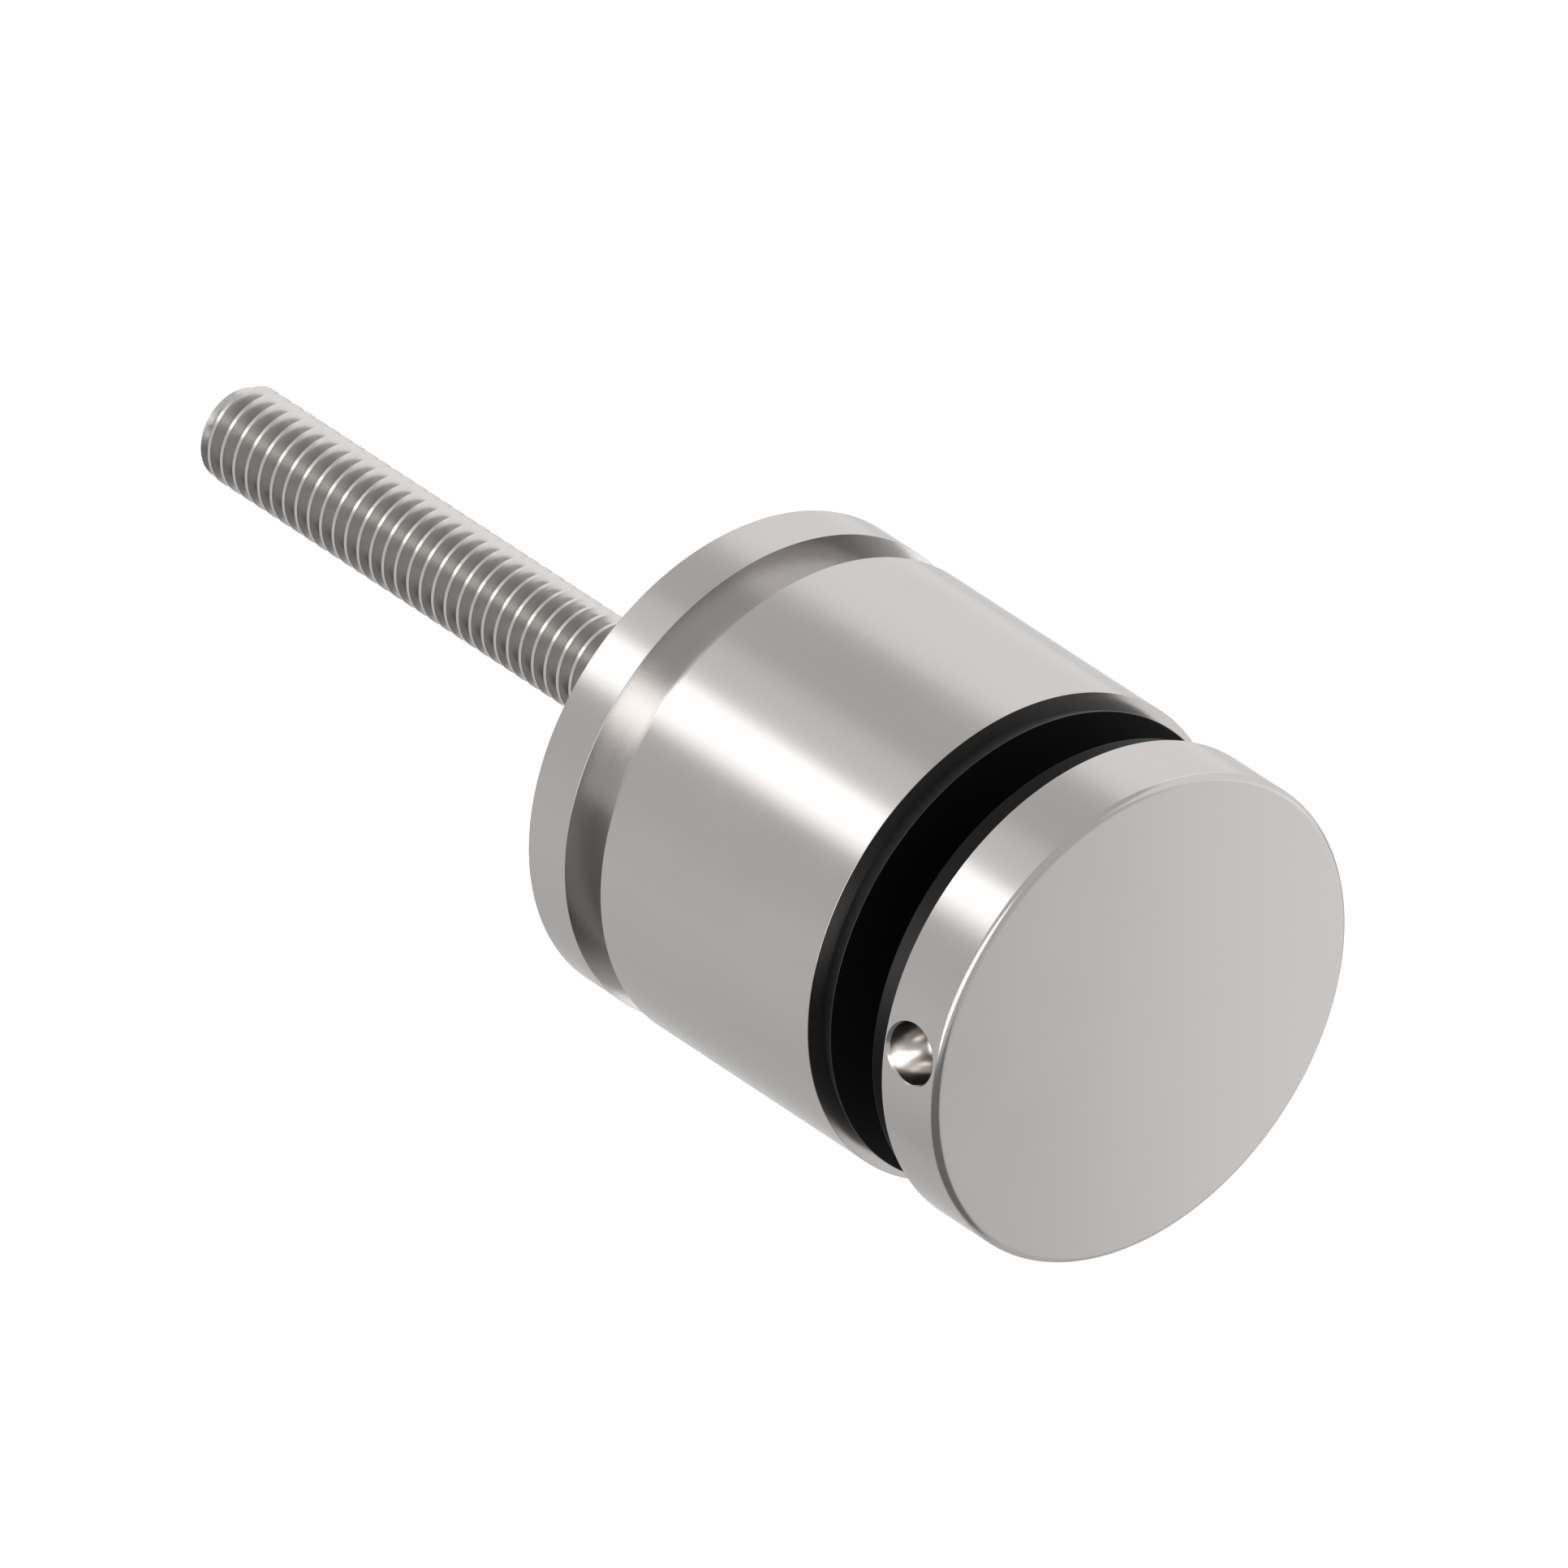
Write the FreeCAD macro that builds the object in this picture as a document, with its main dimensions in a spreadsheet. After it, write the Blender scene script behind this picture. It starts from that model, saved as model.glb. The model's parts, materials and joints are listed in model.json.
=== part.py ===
import FreeCAD, Part
import os

import Sketcher
from FreeCAD import Placement, Rotation, Vector

# Round point fixing for a glass panel, adjustable in depth.
#
# Every piece is turned on one axis. Each body is drawn in its own frame, like a turned part on
# a lathe: local Z runs along the axis from the piece's wall side to its room side. Its placement
# then lays local Z along -Y of the fixing's frame, so the cap faces -Y, the stud points into the
# wall along +Y, and +Z is up. The origin is the centre of the flange's back face, on the wall.
# Threads are drawn as plain cylinders of their outside diameter.

DIMENSIONS = [
    # alias, millimetres or degrees, meaning
    ("body_diameter", 50.0, "outside of the flange, the spacer and the cap"),
    ("edge_break", 0.1, "small chamfer on every turned outside edge"),
    ("running_gap", 0.05, "radial clearance of each thread that turns"),
    ("flange_thickness", 5.3, "base flange"),
    ("neck_diameter", 44.0, "threaded neck that the spacer runs on"),
    ("neck_length", 18.1, "neck in front of the flange"),
    ("groove_width", 5.1, "open neck between flange and spacer, as supplied"),
    ("thread_diameter", 10.0, "outside of both studs"),
    ("stud_reach", 72.7, "wall stud beyond the flange's back face"),
    ("stud_length", 90.0, "whole wall stud"),
    ("stud_chamfer", 0.73, "chamfer on the studs' ends"),
    ("relief_width", 2.0, "thread relief of the wall stud, just inside the flange"),
    ("relief_diameter", 8.2, "bottom of that relief"),
    ("spacer_length", 29.9, "spacer body"),
    ("spacer_front_wall", 11.7, "solid front wall of the spacer"),
    ("gasket_diameter", 48.1, "gasket where it meets the glass"),
    ("gasket_seat_diameter", 46.3, "gasket where it meets the steel"),
    ("rear_gasket_thickness", 2.1, "gasket on the spacer"),
    ("front_gasket_thickness", 2.5, "gasket behind the cap"),
    ("glass_gap", 6.0, "open gap that takes the glass"),
    ("bush_diameter", 15.0, "sleeve in the hole of the glass"),
    ("bush_bore", 10.6, "inside of that sleeve"),
    ("bush_setback", 0.5, "free gap between sleeve and front gasket"),
    ("bush_chamfer", 0.6, "lead-in on the sleeve's front edge"),
    ("front_gasket_bore", 15.6, "hole that passes over the sleeve"),
    ("cap_thickness", 7.7, "cap"),
    ("cap_edge_radius", 0.7, "rounded front edge of the cap"),
    ("clamp_stud_length", 25.0, "stud that joins cap and spacer"),
    ("clamp_stud_seat", 4.9, "length of that stud inside the cap"),
    ("clamp_hole_depth", 5.0, "blind hole in the cap's back"),
    ("pin_hole_diameter", 6.0, "side hole for a pin wrench"),
    ("pin_hole_depth", 10.0, "its full-width depth"),
    ("pin_hole_countersink", 0.3, "width of its 45 degree countersink"),
    ("pin_hole_height", 3.45, "its axis, from the cap's back face"),
    ("pin_hole_angle", 169.5, "its direction around the axis"),
    ("drill_half_angle", 59.0, "half the point angle of the drill"),
]

# Distances of each piece's wall side from the wall, along the axis.
SPACER_AT = "dims.flange_thickness + dims.groove_width"
REAR_GASKET_AT = SPACER_AT + " + dims.spacer_length"
GLASS_AT = REAR_GASKET_AT + " + dims.rear_gasket_thickness"
FRONT_GASKET_AT = GLASS_AT + " + dims.glass_gap"
CAP_AT = FRONT_GASKET_AT + " + dims.front_gasket_thickness"
CLAMP_STUD_AT = CAP_AT + " + dims.clamp_stud_seat - dims.clamp_stud_length"
WALL_STUD_AT = "-dims.stud_reach"

ON_AXIS = "0"
H_AXIS = -1
V_AXIS = -2

doc = FreeCAD.newDocument("GlassPanelStandoff")


def make_sheet():
    """Driving dimensions, one row each: meaning, value, alias."""
    sheet = doc.addObject("Spreadsheet::Sheet", "dims")
    sheet.Label = "dims"
    for row, (alias, value, meaning) in enumerate(DIMENSIONS, start=1):
        sheet.set(f"A{row}", meaning)
        sheet.set(f"B{row}", str(value))
        sheet.setAlias(f"B{row}", alias)
    doc.recompute()
    return sheet


dims = make_sheet()


def number(expression):
    """Present value of an expression on the sheet."""
    return float(dims.evalExpression(expression))


def make_body(node, distance_from_wall):
    """Body named after its node, with local Z along -Y and its wall side at the given distance."""
    body = doc.addObject("PartDesign::Body", node)
    body.Label = node
    body.Placement = Placement(Vector(0, 0, 0), Rotation(Vector(1, 0, 0), 90))
    body.setExpression("Placement.Base.y", f"-({distance_from_wall})")
    doc.recompute()
    return body


def attach(sketch, body, role):
    """Lay a sketch on one of its own body's origin planes."""
    plane = [item for item in body.Origin.OriginFeatures if item.Role == role][0]
    sketch.AttachmentSupport = [(plane, "")]
    sketch.MapMode = "FlatFace"


def dimension(sketch, kind, vertex, expression):
    """Hold one coordinate of a line's start point: on the axis, or at a distance from the origin."""
    if expression == ON_AXIS:
        axis = V_AXIS if kind == "DistanceX" else H_AXIS
        sketch.addConstraint(Sketcher.Constraint("PointOnObject", vertex, 1, axis))
        return
    index = sketch.addConstraint(
        Sketcher.Constraint(kind, -1, 1, vertex, 1, number(expression))
    )
    name = f"{'across' if kind == 'DistanceX' else 'along'}_{vertex}"
    sketch.renameConstraint(index, name)
    sketch.setExpression(f"Constraints.{name}", expression)


def outline(body, name, role, points):
    """Closed outline of straight lines through (across, along) expressions.

    A coordinate that repeats from one point to the next makes that line upright or level, and
    every other coordinate gets a dimension from the sheet.
    """
    sketch = body.newObject("Sketcher::SketchObject", name)
    attach(sketch, body, role)
    corners = [Vector(number(x), number(y), 0) for x, y in points]
    count = len(points)
    for i in range(count):
        sketch.addGeometry(Part.LineSegment(corners[i], corners[(i + 1) % count]), False)
    for i in range(count):
        sketch.addConstraint(Sketcher.Constraint("Coincident", i, 2, (i + 1) % count, 1))
    dimension(sketch, "DistanceX", 0, points[0][0])
    dimension(sketch, "DistanceY", 0, points[0][1])
    for i in range(1, count):
        if points[i][0] == points[i - 1][0]:
            sketch.addConstraint(Sketcher.Constraint("Vertical", i - 1))
        else:
            dimension(sketch, "DistanceX", i, points[i][0])
        if points[i][1] == points[i - 1][1]:
            sketch.addConstraint(Sketcher.Constraint("Horizontal", i - 1))
        else:
            dimension(sketch, "DistanceY", i, points[i][1])
    doc.recompute()
    return sketch


def turn(body, name, points):
    """Turned solid: an outline of (radius, distance along Z) swept once round the axis."""
    sketch = outline(body, f"{name}_outline", "XZ_Plane", points)
    feature = body.newObject("PartDesign::Revolution", name)
    feature.Profile = sketch
    feature.ReferenceAxis = (sketch, ["V_Axis"])
    feature.Angle = 360
    sketch.Visibility = False
    doc.recompute()
    return feature


def bore(body, name, diameter, depth):
    """Round hole from the wall side (local Z = 0) to the given depth."""
    before = body.Shape.Volume
    sketch = body.newObject("Sketcher::SketchObject", f"{name}_circle")
    attach(sketch, body, "XY_Plane")
    radius = number(diameter) / 2
    sketch.addGeometry(Part.Circle(Vector(0, 0, 0), Vector(0, 0, 1), radius), False)
    sketch.addConstraint(Sketcher.Constraint("Coincident", 0, 3, -1, 1))
    index = sketch.addConstraint(Sketcher.Constraint("Diameter", 0, 2 * radius))
    sketch.renameConstraint(index, "diameter")
    sketch.setExpression("Constraints.diameter", diameter)
    feature = body.newObject("PartDesign::Pocket", name)
    feature.Profile = sketch
    feature.Reversed = True
    feature.setExpression("Length", depth)
    doc.recompute()
    if body.Shape.Volume > before - 1.0:
        raise RuntimeError(f"{name} cut nothing")
    return feature


def ring_edges(feature, diameter, height):
    """Names of the circular edges of a feature with this diameter at this height."""
    names = []
    for i, edge in enumerate(feature.Shape.Edges, start=1):
        if not isinstance(edge.Curve, Part.Circle):
            continue
        same_size = abs(edge.Curve.Radius - number(diameter) / 2) < 1e-4
        same_height = abs(edge.Curve.Center.z - number(height)) < 1e-4
        if same_size and same_height:
            names.append(f"Edge{i}")
    if not names:
        raise RuntimeError(f"{feature.Name} has no edge of this size and height")
    return names


def dress(body, kind, name, base, rings, size):
    """Chamfer or fillet of the given rings, each (diameter, height)."""
    edges = []
    for diameter, height in rings:
        edges += ring_edges(base, diameter, height)
    feature = body.newObject(f"PartDesign::{kind}", name)
    feature.Base = (base, edges)
    feature.setExpression("Radius" if kind == "Fillet" else "Size", size)
    doc.recompute()
    return feature


def make_base_flange():
    """Flange with its neck, tapped right through for the wall stud."""
    body = make_body("base_flange", "0")
    rim = "dims.body_diameter / 2"
    neck = "dims.neck_diameter / 2"
    front = "dims.flange_thickness"
    neck_end = "dims.flange_thickness + dims.neck_length"
    turn(body, "flange_and_neck", [
        (ON_AXIS, "0"),
        (rim, "0"),
        (rim, front),
        (neck, front),
        (neck, neck_end),
        (ON_AXIS, neck_end),
    ])
    tapped = bore(body, "stud_hole", "dims.thread_diameter", neck_end)
    broken = [("dims.body_diameter", "0"), ("dims.body_diameter", front)]
    dress(body, "Chamfer", "broken_edges", tapped, broken, "dims.edge_break")
    return body


def make_wall_stud():
    """Threaded stud with chamfered ends and a thread relief just inside the flange."""
    body = make_body("wall_stud", WALL_STUD_AT)
    radius = "dims.thread_diameter / 2"
    relief = "dims.relief_diameter / 2"
    relief_end = "dims.stud_reach + dims.relief_width"
    shank = turn(body, "shank", [
        (ON_AXIS, "0"),
        (radius, "0"),
        (radius, "dims.stud_reach"),
        (relief, "dims.stud_reach"),
        (relief, relief_end),
        (radius, relief_end),
        (radius, "dims.stud_length"),
        (ON_AXIS, "dims.stud_length"),
    ])
    ends = [("dims.thread_diameter", "0"), ("dims.thread_diameter", "dims.stud_length")]
    dress(body, "Chamfer", "stud_ends", shank, ends, "dims.stud_chamfer")
    return body


def make_spacer_body():
    """Spacer, counterbored from behind to run on the neck, tapped through its front wall."""
    body = make_body("spacer_body", SPACER_AT)
    rim = "dims.body_diameter / 2"
    turn(body, "barrel", [
        (ON_AXIS, "0"),
        (rim, "0"),
        (rim, "dims.spacer_length"),
        (ON_AXIS, "dims.spacer_length"),
    ])
    bore(
        body,
        "neck_counterbore",
        "dims.neck_diameter + 2 * dims.running_gap",
        "dims.spacer_length - dims.spacer_front_wall",
    )
    tapped = bore(
        body,
        "clamp_hole",
        "dims.thread_diameter + 2 * dims.running_gap",
        "dims.spacer_length",
    )
    broken = [("dims.body_diameter", "0"), ("dims.body_diameter", "dims.spacer_length")]
    dress(body, "Chamfer", "broken_edges", tapped, broken, "dims.edge_break")
    return body


def make_rear_gasket():
    """Rubber ring that widens from the spacer's front face to the glass."""
    body = make_body("rear_gasket", REAR_GASKET_AT)
    hole = "dims.bush_diameter / 2"
    thickness = "dims.rear_gasket_thickness"
    turn(body, "ring", [
        (hole, "0"),
        ("dims.gasket_seat_diameter / 2", "0"),
        ("dims.gasket_diameter / 2", thickness),
        (hole, thickness),
    ])
    return body


def make_front_gasket():
    """Rubber ring that narrows from the glass to the cap's back face."""
    body = make_body("front_gasket", FRONT_GASKET_AT)
    hole = "dims.front_gasket_bore / 2"
    thickness = "dims.front_gasket_thickness"
    turn(body, "ring", [
        (hole, "0"),
        ("dims.gasket_diameter / 2", "0"),
        ("dims.gasket_seat_diameter / 2", thickness),
        (hole, thickness),
    ])
    return body


def make_glass_bush():
    """Plastic sleeve on the clamp stud, which keeps the edge of the glass off the steel."""
    body = make_body("glass_bush", REAR_GASKET_AT)
    outside = "dims.bush_diameter / 2"
    length = "dims.rear_gasket_thickness + dims.glass_gap - dims.bush_setback"
    sleeve = turn(body, "sleeve", [
        ("dims.bush_bore / 2", "0"),
        (outside, "0"),
        (outside, length),
        ("dims.bush_bore / 2", length),
    ])
    dress(body, "Chamfer", "lead_in", sleeve, [("dims.bush_diameter", length)], "dims.bush_chamfer")
    return body


def make_cap():
    """Screw-on cap: plain face, rounded front edge, side hole for a pin wrench."""
    body = make_body("cap", CAP_AT)
    rim = "dims.body_diameter / 2"
    turn(body, "disc", [
        (ON_AXIS, "0"),
        (rim, "0"),
        (rim, "dims.cap_thickness"),
        (ON_AXIS, "dims.cap_thickness"),
    ])
    tapped = bore(body, "clamp_hole", "dims.thread_diameter", "dims.clamp_hole_depth")
    front_ring = [("dims.body_diameter", "dims.cap_thickness")]
    rounded = dress(body, "Fillet", "rounded_edge", tapped, front_ring, "dims.cap_edge_radius")
    rear_ring = [("dims.body_diameter", "0")]
    dress(body, "Chamfer", "broken_edge", rounded, rear_ring, "dims.edge_break")
    drill_pin_hole(body)
    return body


def drill_pin_hole(body):
    """Radial blind hole with the drill's point at its bottom and a small countersink."""
    before = body.Shape.Volume
    radius = "dims.pin_hole_diameter / 2"
    full_depth = "dims.body_diameter / 2 - dims.pin_hole_depth"
    point = f"{full_depth} - {radius} / tan(dims.drill_half_angle * 1 deg)"
    beyond = "dims.body_diameter / 2 + 1"
    sketch = outline(body, "pin_hole_outline", "XY_Plane", [
        (point, ON_AXIS),
        (full_depth, radius),
        ("dims.body_diameter / 2 - dims.pin_hole_countersink", radius),
        (beyond, f"{radius} + dims.pin_hole_countersink + 1"),
        (beyond, ON_AXIS),
    ])
    sketch.AttachmentOffset = Placement(Vector(0, 0, 1), Rotation(Vector(0, 0, 1), 90))
    sketch.setExpression("AttachmentOffset.Base.z", "dims.pin_hole_height")
    sketch.setExpression("AttachmentOffset.Rotation.Angle", "dims.pin_hole_angle")
    doc.recompute()
    feature = body.newObject("PartDesign::Groove", "pin_hole")
    feature.Profile = sketch
    feature.ReferenceAxis = (sketch, ["H_Axis"])
    feature.Angle = 360
    doc.recompute()
    if body.Shape.Volume > before - 1.0:
        raise RuntimeError("pin_hole cut nothing")


def make_clamp_stud():
    """Stud fixed in the cap, which screws into the spacer's front wall."""
    body = make_body("clamp_stud", CLAMP_STUD_AT)
    radius = "dims.thread_diameter / 2"
    shank = turn(body, "shank", [
        (ON_AXIS, "0"),
        (radius, "0"),
        (radius, "dims.clamp_stud_length"),
        (ON_AXIS, "dims.clamp_stud_length"),
    ])
    ends = [("dims.thread_diameter", "0"), ("dims.thread_diameter", "dims.clamp_stud_length")]
    dress(body, "Chamfer", "stud_ends", shank, ends, "dims.stud_chamfer")
    return body


def check_document():
    """Stop if any object failed to rebuild."""
    for item in doc.Objects:
        if "Invalid" in item.State or "Error" in item.State:
            raise RuntimeError(f"{item.Name} failed: {item.State}")


def export(bodies):
    """Write each sub-part to parts/NODE.step."""
    os.makedirs("parts", exist_ok=True)
    for body in bodies:
        shape = body.Shape
        if shape.isNull() or not shape.isValid() or len(shape.Solids) != 1:
            raise RuntimeError(f"{body.Label} is not one valid solid")
    for body in bodies:
        body.Shape.exportStep(os.path.join("parts", f"{body.Label}.step"))
        box = body.Shape.BoundBox
        print(
            f"{body.Label:14s} volume {body.Shape.Volume:9.1f} mm3"
            f"   y {box.YMin:7.2f} to {box.YMax:6.2f}   across {box.XLength:6.2f}"
        )


pieces = [
    make_base_flange(),
    make_wall_stud(),
    make_spacer_body(),
    make_rear_gasket(),
    make_glass_bush(),
    make_front_gasket(),
    make_cap(),
    make_clamp_stud(),
]
doc.recompute()
check_document()
export(pieces)
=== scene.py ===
import json
import math

import bmesh
import bpy
from bpy.props import (
    FloatProperty,
    FloatVectorProperty,
    IntProperty,
    PointerProperty,
)
from mathutils import Matrix, Quaternion, Vector


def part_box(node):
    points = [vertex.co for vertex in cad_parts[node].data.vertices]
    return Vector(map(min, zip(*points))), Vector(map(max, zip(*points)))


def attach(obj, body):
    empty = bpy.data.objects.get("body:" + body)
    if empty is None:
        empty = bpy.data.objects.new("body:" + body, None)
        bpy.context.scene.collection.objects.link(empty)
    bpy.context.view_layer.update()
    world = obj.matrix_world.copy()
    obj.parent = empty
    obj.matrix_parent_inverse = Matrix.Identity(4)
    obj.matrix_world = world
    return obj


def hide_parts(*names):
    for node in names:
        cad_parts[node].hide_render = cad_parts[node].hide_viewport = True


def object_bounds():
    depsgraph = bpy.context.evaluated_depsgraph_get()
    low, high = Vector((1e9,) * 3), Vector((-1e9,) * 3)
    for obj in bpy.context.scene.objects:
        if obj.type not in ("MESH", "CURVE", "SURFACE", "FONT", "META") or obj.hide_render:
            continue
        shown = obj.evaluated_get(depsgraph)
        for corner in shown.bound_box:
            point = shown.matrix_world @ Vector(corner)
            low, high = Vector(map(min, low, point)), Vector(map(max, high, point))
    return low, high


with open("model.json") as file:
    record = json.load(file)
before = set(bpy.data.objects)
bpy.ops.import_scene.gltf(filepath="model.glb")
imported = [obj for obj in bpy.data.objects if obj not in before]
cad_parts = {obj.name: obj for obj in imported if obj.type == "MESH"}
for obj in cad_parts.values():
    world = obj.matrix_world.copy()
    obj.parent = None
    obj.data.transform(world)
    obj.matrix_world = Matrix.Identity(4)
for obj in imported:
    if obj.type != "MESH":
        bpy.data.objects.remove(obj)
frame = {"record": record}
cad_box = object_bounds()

bl_info = {
    "name": "Glass Panel Standoff",
    "version": (1, 0, 0),
    "blender": (4, 5, 0),
    "location": "3D View > Sidebar > Standoff",
    "description": "Round point fixing for a glass panel, turned in stainless steel",
    "category": "Add Mesh",
}

# Everything is turned on the Y axis. +Y runs into the wall, -Y out to the room.
AXIS = Vector((0.0, 1.0, 0.0))
ORIGIN = Vector((0.0, 0.0, 0.0))
MILLIMETRE = 0.001
MICRON = 0.000001

# Closer than this, corners are one corner, places are one place and sizes are one size.
WELD = 1e-7
SAME_PLACE = 1e-6
SAME_SIZE = 0.0002

SHARP_ANGLE = math.radians(32)
DRILL_HALF_ANGLE = math.radians(59)

# A thread is made longer than its stud and then cut square at both ends.
LEAD_TURNS = 1.2
SPARE_TURNS = 3

# Facets across a deburred edge, a moulded edge, the cap's round edge and the bush's lead-in.
BREAK_FACETS = 3
MOULD_FACETS = 4
CAP_EDGE_FACETS = 14
LEAD_IN_FACETS = 2

# How far colour and roughness wander over a surface, and in how many patches per metre.
STEEL_COLOUR_SWING = 0.015
STEEL_POLISH_SWING = 0.012
STEEL_PATCHES = 90.0
BLACK_COLOUR_SWING = 0.2
BLACK_POLISH_SWING = 0.05
BLACK_PATCHES = 120.0

# The steel wanders over this middle part of its mottle.
MOTTLE_LOW = 0.3
MOTTLE_HIGH = 0.7

# Height of the turned rings against the grain between them.
RING_SHARE = 0.5

# Steel seen at a glancing angle stays this much duller than a mirror.
STEEL_EDGE_TINT = (0.72, 0.72, 0.72, 1.0)

# Half the floor's side, its colour, and the light that keeps it white to the eye.
FLOOR_REACH = 6.0
FLOOR_GREY = 0.82
FLOOR_LIFT = 0.45

CAMERA_NEAR = 0.1
CAMERA_FAR = 30.0

MOUNTS = {mount["name"]: mount for mount in frame["record"]["mounts"]}


# Sizes, finishes and stage that a user would change


class StandoffSizes(bpy.types.PropertyGroup):
    """Sizes of the details that are finer than the frame"""

    lathe_steps: IntProperty(
        name="Lathe steps",
        description="Faces round each turned piece",
        default=288,
        min=48,
    )
    edge_break: FloatProperty(
        name="Edge break",
        description="Width of the deburred outside edges",
        default=0.00005,
        unit="LENGTH",
        precision=5,
    )
    cap_edge_radius: FloatProperty(
        name="Cap edge",
        description="Radius of the cap's front edge",
        default=0.0007,
        unit="LENGTH",
        precision=5,
    )
    neck_radius: FloatProperty(
        name="Neck",
        description="Radius of the threaded neck that the spacer runs on",
        default=0.022,
        unit="LENGTH",
        precision=5,
    )
    flange_thickness: FloatProperty(
        name="Flange",
        description="Thickness of the base flange",
        default=0.0053,
        unit="LENGTH",
        precision=5,
    )
    running_gap: FloatProperty(
        name="Running gap",
        description="Radial clearance of the threads that turn",
        default=0.00005,
        unit="LENGTH",
        precision=6,
    )
    plain_neck: FloatProperty(
        name="Plain neck",
        description="Length of neck in front of the flange that has no thread",
        default=0.0053,
        unit="LENGTH",
        precision=5,
    )
    front_wall: FloatProperty(
        name="Spacer front wall",
        description="Thickness of the spacer's solid front wall",
        default=0.0117,
        unit="LENGTH",
        precision=5,
    )
    wall_pitch: FloatProperty(
        name="Wall thread pitch",
        description="Advance of the wall stud's thread in one turn",
        default=0.001818,
        unit="LENGTH",
        precision=6,
    )
    clamp_pitch: FloatProperty(
        name="Clamp thread pitch",
        description="Advance of the clamp stud and of the neck in one turn",
        default=0.0015,
        unit="LENGTH",
        precision=5,
    )
    crest_share: FloatProperty(
        name="Crest",
        description="Flat top of the thread, as a share of its pitch",
        default=0.2,
        subtype="FACTOR",
        min=0.05,
        max=0.5,
    )
    root_share: FloatProperty(
        name="Root",
        description="Flat bottom of the thread, as a share of its pitch",
        default=0.24,
        subtype="FACTOR",
        min=0.05,
        max=0.5,
    )
    depth_share: FloatProperty(
        name="Thread depth",
        description="Depth of the thread, as a share of its pitch",
        default=0.6,
        subtype="FACTOR",
        min=0.2,
        max=0.8,
    )
    stud_chamfer: FloatProperty(
        name="Stud chamfer",
        description="Chamfer on the studs' ends",
        default=0.00073,
        unit="LENGTH",
        precision=5,
    )
    countersink: FloatProperty(
        name="Pin hole countersink",
        description="Width of the countersink of the cap's side hole",
        default=0.0003,
        unit="LENGTH",
        precision=5,
    )
    gasket_rounding: FloatProperty(
        name="Gasket rounding",
        description="Radius of the gaskets' moulded edges",
        default=0.0001,
        unit="LENGTH",
        precision=5,
    )


class StandoffFinish(bpy.types.PropertyGroup):
    """Colours and finishes"""

    steel_colour: FloatVectorProperty(
        name="Steel",
        description="Reflected colour of the satin stainless steel",
        default=(0.353, 0.339, 0.330),
        subtype="COLOR",
        min=0.0,
        max=1.0,
    )
    steel_roughness: FloatProperty(
        name="Steel roughness",
        description="Micro-roughness of the satin finish",
        default=0.22,
        subtype="FACTOR",
        min=0.0,
        max=1.0,
    )
    # Lighter than the satin steel: painted light that lifts the neck and the faces in the groove
    # and counterbore out of their shade.
    turned_colour_painted_lighter: FloatVectorProperty(
        name="Turned steel",
        description="Reflected colour of the neck and of the faces in the groove, left as turned",
        default=(0.50, 0.485, 0.475),
        subtype="COLOR",
        min=0.0,
        max=1.0,
    )
    # A little lighter than the satin steel: partly the thread's own tone, partly painted light
    # that lifts the shade between the flanks.
    stud_colour_partly_painted_lighter: FloatVectorProperty(
        name="Stud steel",
        description="Reflected colour of the studs' rolled thread",
        default=(0.412, 0.398, 0.386),
        subtype="COLOR",
        min=0.0,
        max=1.0,
    )
    stud_roughness: FloatProperty(
        name="Stud roughness",
        description="Micro-roughness of the rolled thread",
        default=0.25,
        subtype="FACTOR",
        min=0.0,
        max=1.0,
    )
    # Far lighter than the satin steel: partly the drilled metal's own brightness, partly painted
    # light that lifts the deep hole's shade and whitens its highlight.
    drilled_colour_painted_lighter: FloatVectorProperty(
        name="Drilled steel",
        description="Reflected colour of the freshly drilled pin hole",
        default=(0.82, 0.80, 0.785),
        subtype="COLOR",
        min=0.0,
        max=1.0,
    )
    rubber_colour: FloatVectorProperty(
        name="Rubber",
        description="Colour of the gaskets",
        default=(0.003, 0.003, 0.003),
        subtype="COLOR",
        min=0.0,
        max=1.0,
    )
    plastic_colour: FloatVectorProperty(
        name="Sleeve plastic",
        description="Colour of the glass bush",
        default=(0.003, 0.003, 0.0032),
        subtype="COLOR",
        min=0.0,
        max=1.0,
    )


class StandoffStage(bpy.types.PropertyGroup):
    """Floor, light and camera"""

    floor_drop: FloatProperty(
        name="Floor drop",
        description="Height of the held fixing above the floor",
        default=0.3,
        unit="LENGTH",
    )
    world_level: FloatProperty(
        name="Surrounding light",
        description="Brightness of the surroundings for matt surfaces",
        default=0.75,
        min=0.0,
    )


# Modelling


def span(node):
    """Wall-side y, room-side y and outside radius of a turned node, from the frame."""
    low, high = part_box(node)
    return high.y, low.y, (high.x - low.x) / 2


def sweep(mesh, corners, edges, steps, advance=0.0):
    """Spin an outline once round the axis; with an advance it climbs like a thread."""
    bmesh.ops.spin(
        mesh,
        geom=corners + edges,
        cent=ORIGIN,
        axis=AXIS,
        dvec=AXIS * (advance / steps),
        angle=math.tau,
        steps=steps,
        use_merge=advance == 0.0,
        use_normal_flip=False,
        use_duplicate=False,
    )
    bmesh.ops.remove_doubles(mesh, verts=mesh.verts, dist=WELD)
    bmesh.ops.recalc_face_normals(mesh, faces=mesh.faces)


def lathe(outline, steps):
    """Turned solid from a closed outline of (radius, y); points on the axis close its ends."""
    mesh = bmesh.new()
    corners = [mesh.verts.new((radius, y, 0.0)) for radius, y in outline]
    edges = [mesh.edges.new(pair) for pair in zip(corners, corners[1:])]
    if outline[0][0] > 0.0:
        edges.append(mesh.edges.new((corners[-1], corners[0])))
    sweep(mesh, corners, edges, steps)
    return mesh


def radius_at(point):
    """Distance of a point from the turning axis."""
    return math.hypot(point.x, point.z)


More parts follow.
